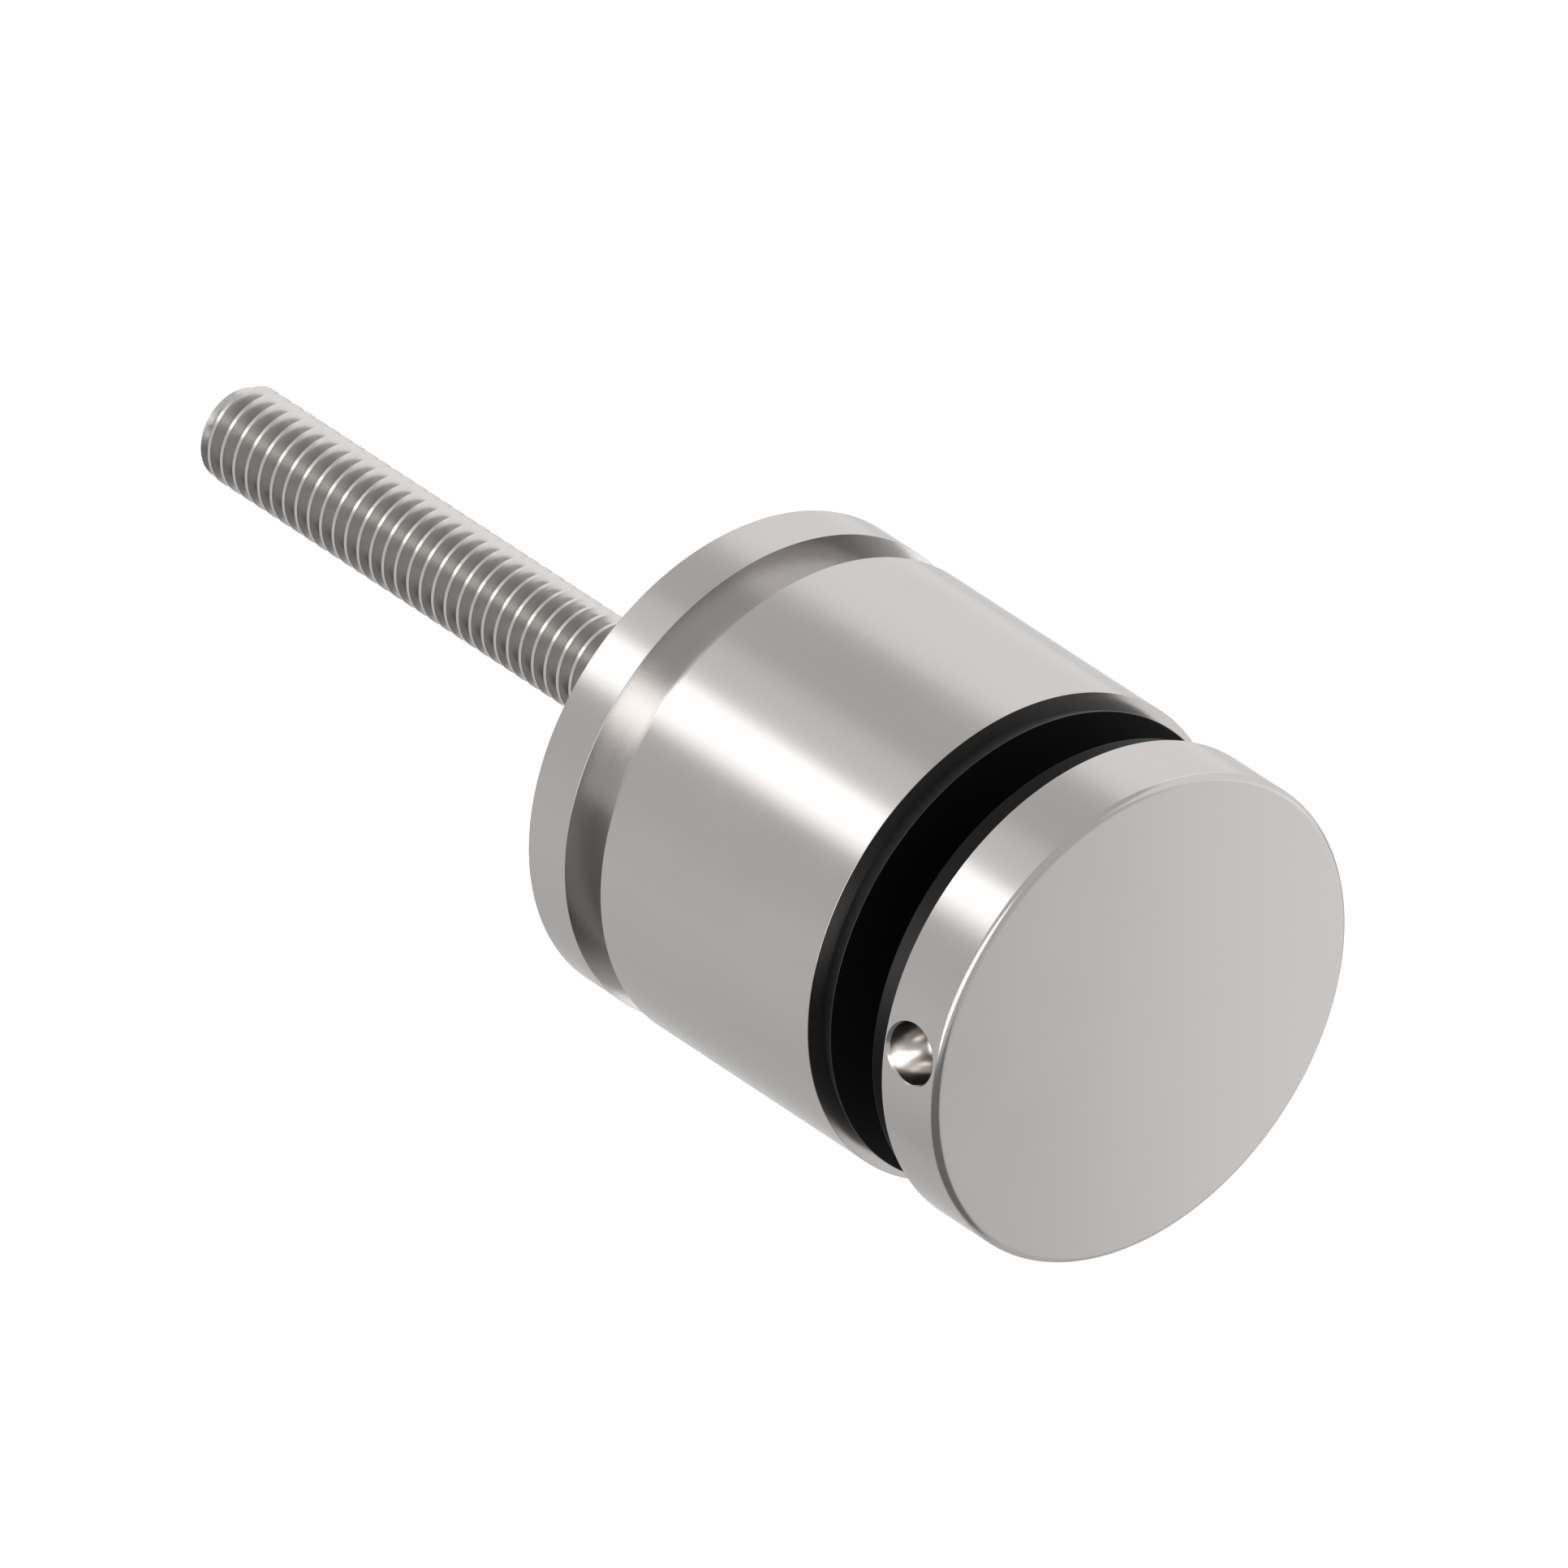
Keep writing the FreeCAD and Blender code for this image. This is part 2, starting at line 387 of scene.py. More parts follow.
def at_level(edge, level):
    """Whether an edge lies in the plane across the axis at a level."""
    return all(abs(v.co.y - level) < SAME_PLACE for v in edge.verts)


def at_radius(edge, radius):
    """Whether an edge runs round the axis at a radius."""
    return all(abs(radius_at(v.co) - radius) < SAME_PLACE for v in edge.verts)


def round_off(mesh, rings, width, segments):
    """Bevel the edges of the given rings, each (radius, y)."""
    bmesh.ops.bevel(
        mesh,
        geom=[
            edge
            for radius, y in rings
            for edge in mesh.edges
            if at_radius(edge, radius) and at_level(edge, y)
        ],
        offset=width,
        offset_type="OFFSET",
        segments=segments,
        profile=0.5,
        affect="EDGES",
        material=-1,
    )


def cut(mesh, level, side, clear):
    """Slice a mesh across the axis; when asked, clear what lies beyond on a side, +1 or -1."""
    bmesh.ops.bisect_plane(
        mesh,
        geom=mesh.verts[:] + mesh.edges[:] + mesh.faces[:],
        dist=WELD,
        plane_co=AXIS * level,
        plane_no=AXIS * side,
        clear_outer=clear,
    )


def close_end(mesh, level, inward, radius, chamfer):
    """Fill a thread's cut end and chamfer it; inward is the way into it, +1 or -1."""
    cut(mesh, level + inward * chamfer, inward, False)
    rim = [edge for edge in mesh.edges if edge.is_boundary and at_level(edge, level)]
    bmesh.ops.holes_fill(mesh, edges=rim, sides=0)
    for corner in mesh.verts:
        limit = radius - chamfer + inward * (corner.co.y - level)
        reach = radius_at(corner.co)
        if reach > limit:
            corner.co.x *= limit / reach
            corner.co.z *= limit / reach


def thread(inner, outer, radius, pitch, sizes, steps, joined=False):
    """Right-hand thread from inner to outer along the axis, with chamfered and closed ends.

    The inner end of a joined thread stays square and open, for the neck that it grows out of.
    """
    crest = sizes.crest_share * pitch
    depth = sizes.depth_share * pitch
    root = sizes.root_share * pitch
    flank = (pitch - crest - root) / 2
    foot = outer - LEAD_TURNS * pitch
    outline = [
        (radius, foot),
        (radius, foot + crest),
        (radius - depth, foot + crest + flank),
        (radius - depth, foot + crest + flank + root),
        (radius, foot + pitch),
    ]
    mesh = bmesh.new()
    corners = [mesh.verts.new((r, y, 0.0)) for r, y in outline]
    edges = [mesh.edges.new(pair) for pair in zip(corners, corners[1:])]
    sweep(mesh, corners, edges, steps, pitch)
    turn = mesh.verts[:] + mesh.edges[:] + mesh.faces[:]
    for number in range(1, math.ceil((inner - outer) / pitch) + SPARE_TURNS):
        copy = bmesh.ops.duplicate(mesh, geom=turn)["geom"]
        corners = [part for part in copy if isinstance(part, bmesh.types.BMVert)]
        bmesh.ops.translate(mesh, vec=AXIS * (number * pitch), verts=corners)
    bmesh.ops.remove_doubles(mesh, verts=mesh.verts, dist=WELD)
    cut(mesh, outer, -1.0, True)
    cut(mesh, inner, 1.0, True)
    close_end(mesh, outer, 1.0, radius, sizes.stud_chamfer)
    if not joined:
        close_end(mesh, inner, -1.0, radius, sizes.stud_chamfer)
    bmesh.ops.recalc_face_normals(mesh, faces=mesh.faces)
    return mesh


def drill(mount, rim, depth, countersink, steps):
    """Solid of the drill that sinks a mount's blind bore from the rim, with its point."""
    radius = mount["dims"]["r_mm"] * MILLIMETRE
    along = Vector(mount["axis"]).normalized()
    on_axis = Vector(mount["pos_m"])
    point = radius / math.tan(DRILL_HALF_ANGLE)
    mesh = lathe(
        [
            (0.0, rim - depth - point),
            (radius, rim - depth),
            (radius, rim - countersink),
            (radius + countersink + MILLIMETRE, rim + MILLIMETRE),
            (0.0, rim + MILLIMETRE),
        ],
        steps,
    )
    turn = AXIS.rotation_difference(along).to_matrix().to_4x4()
    centre = on_axis - along * on_axis.dot(along)
    bmesh.ops.transform(mesh, matrix=Matrix.Translation(centre) @ turn, verts=mesh.verts)
    return mesh


def grow(mesh, other):
    """Join a second mesh to the first where their two open rims face each other."""
    data = bpy.data.meshes.new("joined")
    other.to_mesh(data)
    other.free()
    mesh.from_mesh(data)
    bpy.data.meshes.remove(data)
    bmesh.ops.bridge_loops(mesh, edges=[edge for edge in mesh.edges if edge.is_boundary])
    bmesh.ops.recalc_face_normals(mesh, faces=mesh.faces)


def as_object(name, mesh):
    """Object that holds a finished bmesh."""
    data = bpy.data.meshes.new(name)
    mesh.to_mesh(data)
    mesh.free()
    piece = bpy.data.objects.new(name, data)
    bpy.context.scene.collection.objects.link(piece)
    return piece


def take_away(piece, tool):
    """Cut a tool's shape out of a piece, and put the tool away."""
    modifier = piece.modifiers.new("take away", "BOOLEAN")
    modifier.operation = "DIFFERENCE"
    modifier.solver = "EXACT"
    modifier.object = tool
    graph = bpy.context.evaluated_depsgraph_get()
    result = bpy.data.meshes.new_from_object(piece.evaluated_get(graph))
    piece.modifiers.remove(modifier)
    old = piece.data
    piece.data = result
    result.name = piece.name
    bpy.data.meshes.remove(old)
    bpy.data.objects.remove(tool)


def fit(piece, material, node, body):
    """Shade a finished piece and put it on its body in place of the plain node."""
    low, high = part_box(node)
    if (piece.dimensions - (high - low)).length > SAME_SIZE:
        raise RuntimeError(f"{piece.name} isn't as large as {node}")
    piece.data.materials.append(material)
    piece.data.shade_smooth()
    piece.data.set_sharp_from_angle(angle=SHARP_ANGLE)
    normals = piece.modifiers.new("flat faces stay flat", "WEIGHTED_NORMAL")
    normals.keep_sharp = True
    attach(piece, body)
    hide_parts(node)


def refinish(piece, material, chosen):
    """Give the faces that a test picks by their centres a finish of their own."""
    piece.data.materials.append(material)
    slot = len(piece.data.materials) - 1
    for face in piece.data.polygons:
        if chosen(face.center):
            face.material_index = slot


# Finishes


def node_at(tree, kind, x, y, **values):
    """Shader node at a place, with its settings."""
    node = tree.nodes.new(kind)
    node.location = (x, y)
    for name, value in values.items():
        setattr(node, name, value)
    return node


def new_group(name, inputs, outputs):
    """Empty shader node group with named number sockets."""
    group = bpy.data.node_groups.new(name, "ShaderNodeTree")
    for way, sockets in (("INPUT", inputs), ("OUTPUT", outputs)):
        for socket in sockets:
            group.interface.new_socket(socket, in_out=way, socket_type="NodeSocketFloat")
    return group


def turning_marks():
    """Node group: fine rings that a lathe leaves round the axis and across each face."""
    name = "turning marks"
    if name in bpy.data.node_groups:
        return bpy.data.node_groups[name]
    group = new_group(name, ("Rings per metre", "Grain per metre"), ("Height", "Mottle"))
    inputs = node_at(group, "NodeGroupInput", -900, 0)
    outputs = node_at(group, "NodeGroupOutput", 700, 0)
    place = node_at(group, "ShaderNodeTexCoord", -900, -250)
    split = node_at(group, "ShaderNodeSeparateXYZ", -700, -250)
    across = node_at(group, "ShaderNodeCombineXYZ", -500, -350)
    radius = node_at(group, "ShaderNodeVectorMath", -300, -350, operation="LENGTH")
    travel = node_at(group, "ShaderNodeMath", -100, -250, operation="ADD")
    scaled = node_at(group, "ShaderNodeMath", 80, -150, operation="MULTIPLY")
    rings = node_at(group, "ShaderNodeTexNoise", 260, -150, noise_dimensions="1D")
    rings.inputs["Scale"].default_value = 1.0
    rings.inputs["Detail"].default_value = 3.0
    grain = node_at(group, "ShaderNodeTexNoise", 260, 150)
    grain.inputs["Detail"].default_value = 2.0
    both = node_at(group, "ShaderNodeMath", 480, 60, operation="MULTIPLY_ADD")
    both.inputs[1].default_value = RING_SHARE
    mottle = node_at(group, "ShaderNodeTexNoise", 260, -450)
    mottle.inputs["Scale"].default_value = STEEL_PATCHES
    mottle.inputs["Detail"].default_value = 4.0
    join = group.links.new
    join(place.outputs["Object"], split.inputs[0])
    join(split.outputs["X"], across.inputs["X"])
    join(split.outputs["Z"], across.inputs["Z"])
    join(across.outputs[0], radius.inputs[0])
    join(split.outputs["Y"], travel.inputs[0])
    join(radius.outputs["Value"], travel.inputs[1])
    join(travel.outputs[0], scaled.inputs[0])
    join(inputs.outputs["Rings per metre"], scaled.inputs[1])
    join(scaled.outputs[0], rings.inputs["W"])
    join(place.outputs["Object"], grain.inputs["Vector"])
    join(inputs.outputs["Grain per metre"], grain.inputs["Scale"])
    join(rings.outputs["Fac"], both.inputs[0])
    join(grain.outputs["Fac"], both.inputs[2])
    join(place.outputs["Object"], mottle.inputs["Vector"])
    join(both.outputs[0], outputs.inputs["Height"])
    join(mottle.outputs["Fac"], outputs.inputs["Mottle"])
    return group


def mould_grain():
    """Node group: fine matt grain off a mould's wall, and faint clouds in the black."""
    name = "mould grain"
    if name in bpy.data.node_groups:
        return bpy.data.node_groups[name]
    group = new_group(name, ("Grain per metre",), ("Height", "Clouds"))
    inputs = node_at(group, "NodeGroupInput", -500, 0)
    outputs = node_at(group, "NodeGroupOutput", 100, 0)
    place = node_at(group, "ShaderNodeTexCoord", -500, -200)
    grain = node_at(group, "ShaderNodeTexNoise", -200, 150)
    grain.inputs["Detail"].default_value = 3.0
    clouds = node_at(group, "ShaderNodeTexNoise", -200, -200)
    clouds.inputs["Scale"].default_value = BLACK_PATCHES
    join = group.links.new
    join(place.outputs["Object"], grain.inputs["Vector"])
    join(inputs.outputs["Grain per metre"], grain.inputs["Scale"])
    join(place.outputs["Object"], clouds.inputs["Vector"])
    join(grain.outputs["Fac"], outputs.inputs["Height"])
    join(clouds.outputs["Fac"], outputs.inputs["Clouds"])
    return group


def new_material(name):
    """Material with nodes, and its node tree."""
    material = bpy.data.materials.new(name)
    material.use_nodes = True
    return material, material.node_tree


def shades(colour, swing):
    """A darker and a lighter shade of a colour, as node colours."""
    return [(*[part * (1.0 + shift) for part in colour], 1.0) for shift in (-swing, swing)]


def steel(name, colour, roughness, rings, grain, relief):
    """Stainless steel with turning marks and a slightly uneven polish."""
    if name in bpy.data.materials:
        return bpy.data.materials[name]
    material, tree = new_material(name)
    shader = tree.nodes["Principled BSDF"]
    shader.inputs["Metallic"].default_value = 1.0
    shader.inputs["Specular Tint"].default_value = STEEL_EDGE_TINT
    marks = node_at(tree, "ShaderNodeGroup", -700, 0, node_tree=turning_marks())
    marks.inputs["Rings per metre"].default_value = rings
    marks.inputs["Grain per metre"].default_value = grain
    tone = node_at(tree, "ShaderNodeMapRange", -450, 250)
    tone.inputs["From Min"].default_value = MOTTLE_LOW
    tone.inputs["From Max"].default_value = MOTTLE_HIGH
    shade = node_at(tree, "ShaderNodeMix", -220, 300, data_type="RGBA")
    dark, light = shades(colour, STEEL_COLOUR_SWING)
    shade.inputs["A"].default_value = dark
    shade.inputs["B"].default_value = light
    polish = node_at(tree, "ShaderNodeMapRange", -220, 0)
    polish.inputs["From Min"].default_value = MOTTLE_LOW
    polish.inputs["From Max"].default_value = MOTTLE_HIGH
    polish.inputs["To Min"].default_value = roughness - STEEL_POLISH_SWING
    polish.inputs["To Max"].default_value = roughness + STEEL_POLISH_SWING
    bump = node_at(tree, "ShaderNodeBump", -220, -300)
    bump.inputs["Strength"].default_value = 1.0
    bump.inputs["Distance"].default_value = relief
    join = tree.links.new
    join(marks.outputs["Mottle"], tone.inputs["Value"])
    join(tone.outputs["Result"], shade.inputs["Factor"])
    join(shade.outputs["Result"], shader.inputs["Base Color"])
    join(marks.outputs["Mottle"], polish.inputs["Value"])
    join(polish.outputs["Result"], shader.inputs["Roughness"])
    join(marks.outputs["Height"], bump.inputs["Height"])
    join(bump.outputs["Normal"], shader.inputs["Normal"])
    return material


def moulded_black(name, colour, roughness, grain, relief, gloss):
    """Black moulded rubber or plastic with a fine matt grain."""
    if name in bpy.data.materials:
        return bpy.data.materials[name]
    material, tree = new_material(name)
    shader = tree.nodes["Principled BSDF"]
    shader.inputs["Specular IOR Level"].default_value = gloss
    skin = node_at(tree, "ShaderNodeGroup", -700, 0, node_tree=mould_grain())
    skin.inputs["Grain per metre"].default_value = grain
    shade = node_at(tree, "ShaderNodeMix", -400, 300, data_type="RGBA")
    dark, light = shades(colour, BLACK_COLOUR_SWING)
    shade.inputs["A"].default_value = dark
    shade.inputs["B"].default_value = light
    polish = node_at(tree, "ShaderNodeMapRange", -400, 0)
    polish.inputs["To Min"].default_value = roughness - BLACK_POLISH_SWING
    polish.inputs["To Max"].default_value = roughness + BLACK_POLISH_SWING
    bump = node_at(tree, "ShaderNodeBump", -400, -300)
    bump.inputs["Strength"].default_value = 1.0
    bump.inputs["Distance"].default_value = relief
    join = tree.links.new
    join(skin.outputs["Clouds"], shade.inputs["Factor"])
    join(shade.outputs["Result"], shader.inputs["Base Color"])
    join(skin.outputs["Height"], polish.inputs["Value"])
    join(polish.outputs["Result"], shader.inputs["Roughness"])
    join(skin.outputs["Height"], bump.inputs["Height"])
    join(bump.outputs["Normal"], shader.inputs["Normal"])
    return material


def satin_steel(finish):
    """Finish of the flange, the spacer and the cap."""
    return steel(
        "satin stainless",
        finish.steel_colour,
        roughness=finish.steel_roughness,
        rings=9000.0,
        grain=6000.0,
        relief=0.7 * MICRON,
    )


def turned_steel_painted_lighter(finish):
    """Finish of the neck and of the faces in the groove, turned, with a colour painted lighter
    than the satin steel to lift their shade.
    """
    return steel(
        "turned stainless",
        finish.turned_colour_painted_lighter,
        roughness=0.19,
        rings=5000.0,
        grain=12000.0,
        relief=3.0 * MICRON,
    )


def drilled_steel_painted_lighter(finish):
    """Finish of the walls and the bottom of the pin hole, with a colour painted far lighter than
    the satin steel to lift the hole's shade and whiten its highlight.
    """
    return steel(
        "drilled stainless",
        finish.drilled_colour_painted_lighter,
        roughness=0.15,
        rings=1500.0,
        grain=2500.0,
        relief=2.2 * MICRON,
    )


def rolled_steel_partly_painted_lighter(finish):
    """Finish of the studs, with a colour a little lighter than the satin steel: partly the
    thread's own tone, partly painted light that lifts the shade between the flanks.
    """
    return steel(
        "rolled thread steel",
        finish.stud_colour_partly_painted_lighter,
        roughness=finish.stud_roughness,
        rings=3000.0,
        grain=5000.0,
        relief=1.2 * MICRON,
    )


def rubber(finish):
    """Finish of the rear gasket, which stays clean behind the glass."""
    return moulded_black(
        "black rubber",
        finish.rubber_colour,
        roughness=0.35,
        grain=4000.0,
        relief=2.0 * MICRON,
        gloss=0.45,
    )


def dull_rubber(finish):
    """Finish of the front gasket, which is handled each time the cap comes off."""
    return moulded_black(
        "dull rubber",
        finish.rubber_colour,
        roughness=0.4,
        grain=4000.0,
        relief=2.0 * MICRON,
        gloss=0.14,
    )


def ground_rubber(finish):
    """Finish of the gaskets' faces at the glass, ground flat and matt."""
    return moulded_black(
        "ground rubber",
        finish.rubber_colour,
        roughness=0.5,
        grain=4000.0,
        relief=2.0 * MICRON,
        gloss=0.06,
    )


def plastic(finish):
    """Finish of the glass bush."""
    return moulded_black(
        "black nylon",
        finish.plastic_colour,
        roughness=0.4,
        grain=2500.0,
        relief=1.0 * MICRON,
        gloss=0.08,
    )


# One operator for each piece or group of like pieces


class STANDOFF_OT_base_flange(bpy.types.Operator):
    """Turn the base flange with its threaded neck and tapped hole"""

    bl_idname = "standoff.base_flange"
    bl_label = "Base flange"

    def execute(self, context):
        sizes = context.scene.standoff_sizes
        back, neck_end, rim = span("base_flange")
        front = back - sizes.flange_thickness
        thread_start = front - sizes.plain_neck
        _, hole_end, hole = span("wall_stud")
        mesh = lathe(
            [
                (0.0, hole_end),
                (hole, hole_end),
                (hole, back),
                (rim, back),
                (rim, front),
                (sizes.neck_radius, front),
                (sizes.neck_radius, thread_start),
            ],
            sizes.lathe_steps,
        )
        round_off(mesh, [(rim, back), (rim, front)], sizes.edge_break, BREAK_FACETS)
        neck_thread = thread(
            inner=thread_start,
            outer=neck_end,
            radius=sizes.neck_radius - sizes.running_gap,
            pitch=sizes.clamp_pitch,
            sizes=sizes,
            steps=sizes.lathe_steps // 2,
            joined=True,
        )
        grow(mesh, neck_thread)
        piece = as_object("base_flange_turned", mesh)
        finish = context.scene.standoff_finish
        fit(piece, satin_steel(finish), "base_flange", "base")
        # The flange's front face and the neck take the steel painted lighter, against their shade
        # in the groove.
        refinish(
            piece,
            turned_steel_painted_lighter(finish),
            lambda at: at.y < front + SAME_PLACE and radius_at(at) < rim - sizes.edge_break,
        )
        return {"FINISHED"}


class STANDOFF_OT_studs(bpy.types.Operator):
    """Roll the threads of the wall stud and of the clamp stud"""

    bl_idname = "standoff.studs"
    bl_label = "Threaded studs"

    def execute(self, context):
        sizes = context.scene.standoff_sizes
        finish = context.scene.standoff_finish
        for node, body, pitch in (
            ("wall_stud", "base", sizes.wall_pitch),
            ("clamp_stud", "cap", sizes.clamp_pitch),
        ):
            inner, outer, radius = span(node)
            steps = sizes.lathe_steps // 3
            mesh = thread(inner, outer, radius, pitch, sizes, steps)
            piece = as_object(f"{node}_rolled", mesh)
            # The studs take the steel painted a little lighter, against the shade between the
            # flanks.
            fit(piece, rolled_steel_partly_painted_lighter(finish), node, body)
        return {"FINISHED"}


class STANDOFF_OT_spacer(bpy.types.Operator):
    """Turn the spacer, counterbored from behind and tapped through its front wall"""

    bl_idname = "standoff.spacer"
    bl_label = "Spacer body"

    def execute(self, context):
        sizes = context.scene.standoff_sizes
        back, front, rim = span("spacer_body")
        hole = span("clamp_stud")[2] + sizes.running_gap
        counterbore = sizes.neck_radius + sizes.running_gap
        floor = front + sizes.front_wall
        mesh = lathe(
            [
                (hole, floor),
                (counterbore, floor),
                (counterbore, back),
                (rim, back),
                (rim, front),
                (hole, front),
            ],
            sizes.lathe_steps,
        )
        round_off(mesh, [(rim, back), (rim, front)], sizes.edge_break, BREAK_FACETS)
        piece = as_object("spacer_body_turned", mesh)
        finish = context.scene.standoff_finish
        fit(piece, satin_steel(finish), "spacer_body", "spacer")
        # The spacer's back face and counterbore take the steel painted lighter, against their
        # shade.
        refinish(
            piece,
            turned_steel_painted_lighter(finish),
            lambda at: at.y > front + SAME_PLACE and radius_at(at) < rim - sizes.edge_break,
        )
        return {"FINISHED"}


class STANDOFF_OT_gaskets(bpy.types.Operator):
    """Mould the two rubber gaskets, each wider at the glass than at the steel"""

    bl_idname = "standoff.gaskets"
    bl_label = "Rubber gaskets"

    seat_inset: FloatProperty(
        name="Seat inset",
        description="How much smaller a gasket's radius is at the steel than at the glass",
        default=0.0009,
        unit="LENGTH",
        precision=5,
    )
    front_hole: FloatProperty(
        name="Front hole",
        description="Radius of the front gasket's hole, which passes over the bush",
        default=0.0078,
        unit="LENGTH",
        precision=5,
    )

    def execute(self, context):
        sizes = context.scene.standoff_sizes
        finish = context.scene.standoff_finish
        bush = span("glass_bush")[2]
        for node, body, skin, hole in (
            ("rear_gasket", "rear_seal", rubber, bush),
            ("front_gasket", "front_seal", dull_rubber, self.front_hole),
        ):
            wall_side, room_side, rim = span(node)
            if node == "rear_gasket":
                steel_side, glass_side = wall_side, room_side
            else:
                glass_side, steel_side = wall_side, room_side
            mesh = lathe(
                [
                    (hole, steel_side),
                    (rim - self.seat_inset, steel_side),
                    (rim, glass_side),
                    (hole, glass_side),
                ],
                sizes.lathe_steps,
            )
            round_off(mesh, [(rim, glass_side)], sizes.gasket_rounding, MOULD_FACETS)
            piece = as_object(f"{node}_moulded", mesh)
            fit(piece, skin(finish), node, body)
            refinish(
                piece,
                ground_rubber(finish),
                lambda at, face=glass_side: abs(at.y - face) < SAME_PLACE,
            )
        return {"FINISHED"}


class STANDOFF_OT_glass_bush(bpy.types.Operator):
    """Turn the sleeve that keeps the glass off the clamp stud"""

    bl_idname = "standoff.glass_bush"
    bl_label = "Glass bush"

    bore: FloatProperty(
        name="Bore",
        description="Radius of the bush's bore",
        default=0.0053,
        unit="LENGTH",
        precision=5,
    )
    lead_in: FloatProperty(
        name="Lead-in",
        description="Chamfer on the bush's front edge",
        default=0.0006,
        unit="LENGTH",
        precision=5,
    )

    def execute(self, context):
        back, front, rim = span("glass_bush")
        mesh = lathe(
            [(self.bore, back), (rim, back), (rim, front), (self.bore, front)],
            context.scene.standoff_sizes.lathe_steps // 2,
        )
        round_off(mesh, [(rim, front)], self.lead_in, LEAD_IN_FACETS)
        piece = as_object("glass_bush_turned", mesh)
        finish = context.scene.standoff_finish
        fit(piece, plastic(finish), "glass_bush", "rear_seal")
        return {"FINISHED"}


class STANDOFF_OT_cap(bpy.types.Operator):
    """Turn the cap, round its front edge and drill the side hole for a pin wrench"""

    bl_idname = "standoff.cap"
    bl_label = "Cap"

    clamp_hole_depth: FloatProperty(
        name="Clamp hole depth",
        description="Depth of the tapped hole in the cap's back",
        default=0.005,
        unit="LENGTH",
        precision=5,
    )
    pin_hole_depth: FloatProperty(
        name="Pin hole depth",
        description="Depth of the side hole, to the shoulder of the drill's point",
        default=0.01,
        unit="LENGTH",
        precision=5,
    )

    def execute(self, context):
        sizes = context.scene.standoff_sizes
        back, front, rim = span("cap")
        hole = span("clamp_stud")[2]
        hole_end = back - self.clamp_hole_depth
        mesh = lathe(
            [
                (0.0, hole_end),
                (hole, hole_end),
                (hole, back),
                (rim, back),
                (rim, front),
                (0.0, front),
            ],
            sizes.lathe_steps,
        )
        round_off(mesh, [(rim, front)], sizes.cap_edge_radius, CAP_EDGE_FACETS)
        round_off(mesh, [(rim, back)], sizes.edge_break, BREAK_FACETS)
        piece = as_object("cap_turned", mesh)
        pin_drill = drill(
            MOUNTS["pin_hole"],
            rim,
            self.pin_hole_depth,
            sizes.countersink,
            sizes.lathe_steps // 3,
        )
        take_away(piece, as_object("drill", pin_drill))
        finish = context.scene.standoff_finish
        fit(piece, satin_steel(finish), "cap", "cap")
        along = Vector(MOUNTS["pin_hole"]["axis"])
        centre = Vector(MOUNTS["pin_hole"]["pos_m"])
        bore = MOUNTS["pin_hole"]["dims"]["r_mm"] * MILLIMETRE

        def in_pin_hole(at):
            """Whether a place is on the pin hole's wall or bottom, inside the countersink."""
            offset = at - centre
            off_line = (offset - along * offset.dot(along)).length
            return off_line < bore + WELD and hole < radius_at(at) < rim - sizes.countersink

        # The pin hole takes the steel painted lighter, against its shade.
        refinish(piece, drilled_steel_painted_lighter(finish), in_pin_hole)
        return {"FINISHED"}


# Stage


def direction(azimuth, elevation):
    """Unit vector towards a place round the fixing: azimuth 0 is in front of the cap."""
    a, e = math.radians(azimuth), math.radians(elevation)
    return Vector((math.sin(a) * math.cos(e), -math.cos(a) * math.cos(e), math.sin(e)))


def look_at(thing, target, roll=0.0):
    """Turn a lamp, card or camera to face a point."""
    turn = (target - thing.location).to_track_quat("-Z", "Y")
    thing.rotation_euler = (turn @ Quaternion((0.0, 0.0, 1.0), math.radians(roll))).to_euler()


def softbox(name, place, distance, size, level, target, roll=0.0, matt=True):
    """Soft rectangular lamp at an (azimuth, elevation) from its target; level 1 is white.

    A lamp that isn't for matt surfaces shows only where a surface mirrors it.
    """
    data = bpy.data.lights.new(name, "AREA")
    data.shape = "RECTANGLE"
    data.size, data.size_y = size
    data.energy = level * math.pi * size[0] * size[1]
    lamp = bpy.data.objects.new(name, data)
    bpy.context.scene.collection.objects.link(lamp)
    lamp.location = target + direction(*place) * distance
    lamp.visible_camera = False
    lamp.visible_diffuse = matt
    look_at(lamp, target, roll)


def dark_card(name, place, distance, size, level, target):
    """Dark card that only mirroring surfaces see, for crisp dark lines along the edges."""
    mesh = bmesh.new()
    bmesh.ops.create_grid(mesh, x_segments=1, y_segments=1, size=0.5)
    bmesh.ops.scale(mesh, vec=(size[0], size[1], 1.0), verts=mesh.verts)
    card = as_object(name, mesh)
    card.location = target + direction(*place) * distance
    look_at(card, target)
    material, tree = new_material(name)
    tree.nodes.remove(tree.nodes["Principled BSDF"])
    glow = node_at(tree, "ShaderNodeEmission", 0, 0)
    glow.inputs["Strength"].default_value = level
    tree.links.new(glow.outputs[0], tree.nodes["Material Output"].inputs["Surface"])
    card.data.materials.append(material)
    card.visible_camera = False
    card.visible_diffuse = False
    card.visible_shadow = False


def seen_directly(tree, x, y):
    """Light path value: 1 for what the eye sees straight, in metal or through glass."""
    path = node_at(tree, "ShaderNodeLightPath", x, y)
    glossy = node_at(tree, "ShaderNodeMath", x + 200, y, operation="MAXIMUM")
    either = node_at(tree, "ShaderNodeMath", x + 400, y, operation="MAXIMUM")
    tree.links.new(path.outputs["Is Camera Ray"], glossy.inputs[0])
    tree.links.new(path.outputs["Is Glossy Ray"], glossy.inputs[1])
    tree.links.new(glossy.outputs[0], either.inputs[0])
    tree.links.new(path.outputs["Is Transmission Ray"], either.inputs[1])
    return either.outputs[0]


